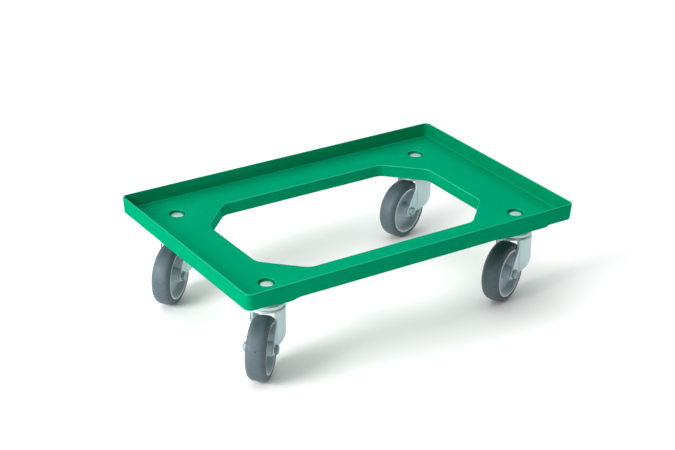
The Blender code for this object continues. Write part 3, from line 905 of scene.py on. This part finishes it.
def wheel_centre_mesh():
    """Plastic wheel centre: rim with a rounded lip, recessed web and hub."""
    hub_half = LEG_INNER - HUB_END_GAP
    return lathe("wheel_centre", mirrored([
        (SLEEVE_RADIUS + SLEEVE_PLAY, hub_half, 0.0004), (HUB_END_RADIUS, hub_half, 0.0008),
        (WEB_INNER_RADIUS, WEB_HALF, 0.0025), (WEB_OUTER_RADIUS, WEB_HALF, 0.0030),
        (RIM_INNER_RADIUS, RIM_HALF, 0.0009), (RIM_RADIUS, RIM_HALF, 0.0006),
    ]), steps=WHEEL_STEPS)


def tyre_mesh():
    """Tyre with a crowned tread, round shoulders and a small moulding mark."""
    edge = [(RIM_RADIUS + out, RIM_HALF + along, radius) for out, along, radius in TYRE_EDGE]
    peak = (WHEEL_RADIUS + TYRE_PEAK, 0.0, TYRE_CURVE)
    tyre = lathe("tyre", mirrored(edge + [
        (RIM_RADIUS + TYRE_SIDE_START, TYRE_HALF, 0.0010),
        (WHEEL_RADIUS - TYRE_CROWN, TYRE_HALF, TYRE_SHOULDER),
    ], [peak]), steps=WHEEL_STEPS)
    body = bmesh.new()
    angle = math.radians(MARK_ANGLE)
    reach = WHEEL_RADIUS + MARK_STANDOFF
    place = Matrix.Translation((reach * math.cos(angle), -reach * math.sin(angle), MARK_OFFSET))
    bmesh.ops.create_icosphere(body, subdivisions=MARK_DETAIL, radius=MARK_RADIUS, matrix=place)
    marked = combined(tyre, mesh_from(body, "mark"), "DIFFERENCE")
    marked.shade_smooth()
    marked.set_sharp_from_angle(angle=math.radians(SHARP))
    return marked


# -------------------------------------------------------------------- materials
def material(name, colour, roughness, metallic=0.0, specular=0.5):
    """A new material; returns it with its node tree and shader."""
    made = bpy.data.materials.new(name)
    made.use_nodes = True
    tree = made.node_tree
    shader = tree.nodes["Principled BSDF"]
    shader.inputs["Base Color"].default_value = (*colour, 1.0)
    shader.inputs["Roughness"].default_value = roughness
    shader.inputs["Metallic"].default_value = metallic
    shader.inputs["Specular IOR Level"].default_value = specular
    return made, tree, shader


def noise(tree, scale, detail=3.0, stretch=(1, 1, 1)):
    """The value of noise over the object's own coordinates, in cycles per metre."""
    place = tree.nodes.new("ShaderNodeTexCoord")
    mapping = tree.nodes.new("ShaderNodeMapping")
    mapping.inputs["Scale"].default_value = stretch
    texture = tree.nodes.new("ShaderNodeTexNoise")
    texture.inputs["Scale"].default_value = scale
    texture.inputs["Detail"].default_value = detail
    tree.links.new(place.outputs["Object"], mapping.inputs["Vector"])
    tree.links.new(mapping.outputs["Vector"], texture.inputs["Vector"])
    return texture.outputs["Fac"]


def ranged(tree, value, low, high, start=0.3, end=0.7):
    """The value, mapped from start..end to low..high."""
    node = tree.nodes.new("ShaderNodeMapRange")
    node.inputs["From Min"].default_value = start
    node.inputs["From Max"].default_value = end
    node.inputs["To Min"].default_value = low
    node.inputs["To Max"].default_value = high
    tree.links.new(value, node.inputs["Value"])
    return node.outputs["Result"]


def mixed(tree, share, first, second):
    """A colour between two, each a tuple or a socket."""
    node = tree.nodes.new("ShaderNodeMix")
    node.data_type = "RGBA"
    tree.links.new(share, node.inputs["Factor"])
    for socket, colour in ((node.inputs[6], first), (node.inputs[7], second)):
        if isinstance(colour, tuple):
            socket.default_value = (*colour, 1.0)
        else:
            tree.links.new(colour, socket)
    return node.outputs[2]


def bump(tree, shader, layers):
    """Bumps from (value, distance in metres) layers, stacked into the shader's normal."""
    normal = None
    for value, distance in layers:
        node = tree.nodes.new("ShaderNodeBump")
        node.inputs["Distance"].default_value = distance
        node.inputs["Strength"].default_value = 1.0
        tree.links.new(value, node.inputs["Height"])
        if normal is not None:
            tree.links.new(normal, node.inputs["Normal"])
        normal = node.outputs["Normal"]
    tree.links.new(normal, shader.inputs["Normal"])


def height_of(tree, socket):
    """The Z part of a vector socket."""
    node = tree.nodes.new("ShaderNodeSeparateXYZ")
    tree.links.new(socket, node.inputs["Vector"])
    return node.outputs["Z"]


def product(tree, first, second):
    """Two values multiplied."""
    node = tree.nodes.new("ShaderNodeMath")
    node.operation = "MULTIPLY"
    tree.links.new(first, node.inputs[0])
    tree.links.new(second, node.inputs[1])
    return node.outputs["Value"]


def painted_edge_highlights(tree):
    """Painted highlight strength on the load face's and the rim's rounded upper edges, 0
    elsewhere.
    """
    facing = height_of(tree, tree.nodes.new("ShaderNodeNewGeometry").outputs["Normal"])
    height = height_of(tree, tree.nodes.new("ShaderNodeTexCoord").outputs["Object"])
    tilted = product(
        tree, ranged(tree, facing, 0.0, 1.0, *EDGE_HIGHLIGHT_FACING_IN),
        ranged(tree, facing, 1.0, 0.0, *EDGE_HIGHLIGHT_FACING_OUT),
    )
    load_edge = product(
        tree, ranged(tree, height, 0.0, EDGE_HIGHLIGHT, *EDGE_HIGHLIGHT_HEIGHT_IN),
        ranged(tree, height, 1.0, 0.0, *EDGE_HIGHLIGHT_HEIGHT_OUT),
    )
    start, end = (RIM_TOP - depth for depth in EDGE_HIGHLIGHT_RIM_DEPTH)
    rim = ranged(tree, height, 0.0, EDGE_HIGHLIGHT / 2, start, end)
    either = tree.nodes.new("ShaderNodeMath")
    either.operation = "MAXIMUM"
    tree.links.new(product(tree, tilted, load_edge), either.inputs[0])
    tree.links.new(rim, either.inputs[1])
    return either.outputs["Value"]


def green_plastic():
    """Moulded polypropylene: faint flow marks, fine grain, painted highlights on rounded edges.
    """
    made, tree, shader = material("green_plastic", GREEN, 0.30, metallic=0.20, specular=0.0)
    shader.inputs["Specular Tint"].default_value = (*GREEN_SHEEN, 1.0)
    flow = ranged(tree, noise(tree, 7.0, detail=4.0, stretch=(1.0, 2.2, 1.0)), 0.0, 1.0)
    colour = mixed(tree, flow, GREEN, GREEN_DEEP)
    speckle = ranged(tree, noise(tree, 420.0, detail=2.0), 0.0, 0.18, start=0.45, end=0.75)
    colour = mixed(tree, speckle, colour, GREEN_PALE)
    # Painted highlight: the rounded edges of the load face and the rim are mixed towards pale
    # green
    colour = mixed(tree, painted_edge_highlights(tree), colour, GREEN_HIGHLIGHT)
    tree.links.new(colour, shader.inputs["Base Color"])
    scuffs = noise(tree, 30.0, detail=6.0, stretch=(0.25, 1.6, 1.0))
    tree.links.new(ranged(tree, scuffs, 0.18, 0.32), shader.inputs["Roughness"])
    bump(tree, shader, [
        (noise(tree, 11.0, detail=1.0), 0.0010),
        (noise(tree, 650.0, detail=2.0), 0.00003),
    ])
    return made


def zinc(name, colour, tint, roughness, scale, metallic=1.0):
    """Zinc plating or bare steel: cloudy crystals, a little colour, fine grain."""
    made, tree, shader = material(name, colour, roughness, metallic)
    clouds = ranged(tree, noise(tree, scale, detail=5.0), 0.0, 1.0)
    tree.links.new(mixed(tree, clouds, colour, tint), shader.inputs["Base Color"])
    grain = ranged(tree, noise(tree, scale * 9.0), roughness - 0.07, roughness + 0.10)
    tree.links.new(grain, shader.inputs["Roughness"])
    bump(tree, shader, [
        (noise(tree, scale * 1.5, detail=2.0), 0.00012),
        (noise(tree, scale * 14.0, detail=2.0), 0.00001),
    ])
    return made


def axis_distance(tree):
    """How far a point is from the piece's own Z axis."""
    place = tree.nodes.new("ShaderNodeTexCoord")
    flat = tree.nodes.new("ShaderNodeVectorMath")
    flat.operation = "MULTIPLY"
    flat.inputs[1].default_value = (1.0, 1.0, 0.0)
    length = tree.nodes.new("ShaderNodeVectorMath")
    length.operation = "LENGTH"
    tree.links.new(place.outputs["Object"], flat.inputs[0])
    tree.links.new(flat.outputs["Vector"], length.inputs[0])
    return length.outputs["Value"]


def grey_plastic():
    """Moulded wheel centre: fine grain, slightly uneven grey, a painted highlight on the rim's
    lip.
    """
    made, tree, shader = material("grey_plastic", GREY, 0.42, specular=0.4)
    clouds = ranged(tree, noise(tree, 60.0, detail=4.0), 0.0, 1.0)
    colour = mixed(tree, clouds, GREY, GREY_DEEP)
    # Painted highlight: past this radius the rim's lip is painted near white
    start, end = LIP_HIGHLIGHT_RADIUS, LIP_HIGHLIGHT_RADIUS + LIP_HIGHLIGHT_BLEND
    lip = ranged(tree, axis_distance(tree), 0.0, 1.0, start, end)
    tree.links.new(mixed(tree, lip, colour, GREY_LIP_HIGHLIGHT), shader.inputs["Base Color"])
    tree.links.new(ranged(tree, noise(tree, 200.0), 0.36, 0.52), shader.inputs["Roughness"])
    bump(tree, shader, [(noise(tree, 900.0, detail=2.0), 0.00003)])
    return made


def grey_tyre():
    """Thermoplastic rubber: matt, fine grain, a little dust."""
    made, tree, shader = material("grey_tyre", RUBBER, 0.55, specular=0.45)
    clouds = ranged(tree, noise(tree, 45.0, detail=5.0), 0.0, 1.0)
    colour = mixed(tree, clouds, RUBBER, RUBBER_DEEP)
    dust = ranged(tree, noise(tree, 260.0, detail=6.0), 0.0, 0.30, start=0.5, end=0.8)
    colour = mixed(tree, dust, colour, RUBBER_DUST)
    tree.links.new(colour, shader.inputs["Base Color"])
    wear = ranged(tree, noise(tree, 120.0, detail=4.0), 0.46, 0.62)
    tree.links.new(wear, shader.inputs["Roughness"])
    bump(tree, shader, [
        (noise(tree, 900.0, detail=2.0), 0.00004),
        (noise(tree, 60.0, detail=2.0), 0.00015),
    ])
    return made


MATERIALS = {
    "green_plastic": green_plastic(),
    "zinc_steel": zinc("zinc_steel", ZINC, ZINC_TINT, 0.42, 55.0, metallic=0.35),
    "bolt_steel": zinc("bolt_steel", BOLT, BOLT_TINT, 0.40, 120.0),
    "axle_steel": zinc("axle_steel", AXLE_ZINC, AXLE_TINT, 0.45, 120.0, metallic=0.8),
    "bearing_steel": zinc("bearing_steel", STEEL, STEEL_TINT, 0.18, 90.0),
    "grey_plastic": grey_plastic(),
    "grey_tyre": grey_tyre(),
}

# ------------------------------------------------------------------- assembly
# Each castor's pieces: (mesh maker, look, body, frame).  A body other than base belongs
# to the castor.  The frame is the swivel's, the axle's, or the rolled wheel's.
PIECES = {
    "mount_bolt": (mount_bolt_mesh, "bolt_steel", "base", "swivel"),
    "head_plate": (head_plate_mesh, "zinc_steel", "base", "swivel"),
    "kingpin": (kingpin_mesh, "zinc_steel", "base", "swivel"),
    "washer": (washer_mesh, "bolt_steel", "base", "swivel"),
    "lock_nut": (lock_nut_mesh, "bolt_steel", "base", "swivel"),
    "upper_ball_ring": (upper_ball_ring_mesh, "bearing_steel", "balls", "swivel"),
    "lower_ball_ring": (lower_ball_ring_mesh, "bearing_steel", "balls", "swivel"),
    "fork": (fork_mesh, "zinc_steel", "swivel_fork", "swivel"),
    "axle_bolt": (axle_bolt_mesh, "axle_steel", "swivel_fork", "axle"),
    "axle_nut": (axle_nut_mesh, "axle_steel", "swivel_fork", "axle"),
    "axle_sleeve": (axle_sleeve_mesh, "bearing_steel", "swivel_fork", "axle"),
    "wheel_centre": (wheel_centre_mesh, "grey_plastic", "wheel", "wheel"),
    "tyre": (tyre_mesh, "grey_tyre", "wheel", "wheel"),
}


def add_piece(name, mesh, body, node, place):
    """A visible piece in place of a CAD node, riding on that node's body."""
    piece = bpy.data.objects.new(name, mesh)
    bpy.context.scene.collection.objects.link(piece)
    piece.matrix_world = place
    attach(piece, body)
    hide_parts(node)


def dressed(mesh, look):
    """The mesh with one material."""
    mesh.materials.clear()
    mesh.materials.append(MATERIALS[look])
    return mesh


def build():
    """The deck, and every castor's pieces from one set of meshes."""
    deck = dressed(deck_mesh(), "green_plastic")
    add_piece("deck_visual", deck, "base", "deck", Matrix.Identity(4))
    meshes = {piece: dressed(make(), look) for piece, (make, look, _, _) in PIECES.items()}
    for corner, (mount, axle) in CASTORS.items():
        heading = math.atan2(axle.y - mount.y, axle.x - mount.x)
        swivel = Matrix.Translation(mount) @ Matrix.Rotation(heading, 4, "Z")
        axle_frame = (swivel @ Matrix.Translation((TRAIL, 0.0, AXLE_HEIGHT)) @
                      Matrix.Rotation(-math.pi / 2, 4, "X"))
        rolled = axle_frame @ Matrix.Rotation(math.radians(ROLLED[corner]), 4, "Z")
        places = {"swivel": swivel, "axle": axle_frame, "wheel": rolled}
        for piece, (_, look, body, place) in PIECES.items():
            node = corner + "_" + piece
            whole_body = body if body == "base" else corner + "_" + body
            add_piece(node + "_visual", meshes[piece], whole_body, node, places[place])


# ------------------------------------------------------- camera, light and stage
def add_camera():
    """A camera that looks at a point level with the rim's top, from the left and above."""
    azimuth = math.radians(CAMERA_AZIMUTH)
    elevation = math.radians(CAMERA_ELEVATION)
    back = Vector((math.sin(azimuth) * math.cos(elevation),
                   -math.cos(azimuth) * math.cos(elevation), math.sin(elevation)))
    target = Vector((*CAMERA_LOOKS_AT, RIM_TOP))
    data = bpy.data.cameras.new("camera")
    data.lens = LENS
    camera = bpy.data.objects.new("camera", data)
    bpy.context.scene.collection.objects.link(camera)
    turn = (-back).to_track_quat("-Z", "Y").to_matrix().to_4x4()
    roll = Matrix.Rotation(math.radians(CAMERA_ROLL), 4, "Z")
    camera.matrix_world = Matrix.Translation(target + back * CAMERA_DISTANCE) @ turn @ roll
    bpy.context.scene.camera = camera


def add_light(name, place, width, height, power, colour):
    """A soft light panel that points at the trolley."""
    data = bpy.data.lights.new(name, "AREA")
    data.shape = "RECTANGLE"
    data.size = width
    data.size_y = height
    data.energy = power
    data.color = colour
    light = bpy.data.objects.new(name, data)
    bpy.context.scene.collection.objects.link(light)
    light.location = place
    light.rotation_euler = (-Vector(place)).to_track_quat("-Z", "Y").to_euler()


def add_stage():
    """A wide floor, and a studio that shines unevenly."""
    body = bmesh.new()
    bmesh.ops.create_grid(body, x_segments=1, y_segments=1, size=FLOOR_SIZE / 2)
    mesh = bpy.data.meshes.new("floor")
    body.to_mesh(mesh)
    body.free()
    mesh.materials.append(material("floor", FLOOR, 0.9, specular=0.0)[0])
    floor = bpy.data.objects.new("floor", mesh)
    bpy.context.scene.collection.objects.link(floor)
    floor.location.z = -FLOOR_DROP
    world = bpy.data.worlds.new("studio")
    bpy.context.scene.world = world
    world.use_nodes = True
    tree = world.node_tree
    background = tree.nodes["Background"]
    background.inputs["Color"].default_value = (1.0, 1.0, 1.0, 1.0)
    direction = tree.nodes.new("ShaderNodeTexCoord")
    towards_bright = tree.nodes.new("ShaderNodeVectorMath")
    towards_bright.operation = "DOT_PRODUCT"
    towards_bright.inputs[1].default_value = BRIGHT_SIDE
    tree.links.new(direction.outputs["Generated"], towards_bright.inputs[0])
    strength = ranged(tree, towards_bright.outputs["Value"], *WORLD_STRENGTH, *WORLD_BLEND)
    tree.links.new(strength, background.inputs["Strength"])


add_camera()
add_stage()
for panel in LIGHTS:
    add_light(*panel)
bpy.context.scene.view_settings.view_transform = "Standard"
build()
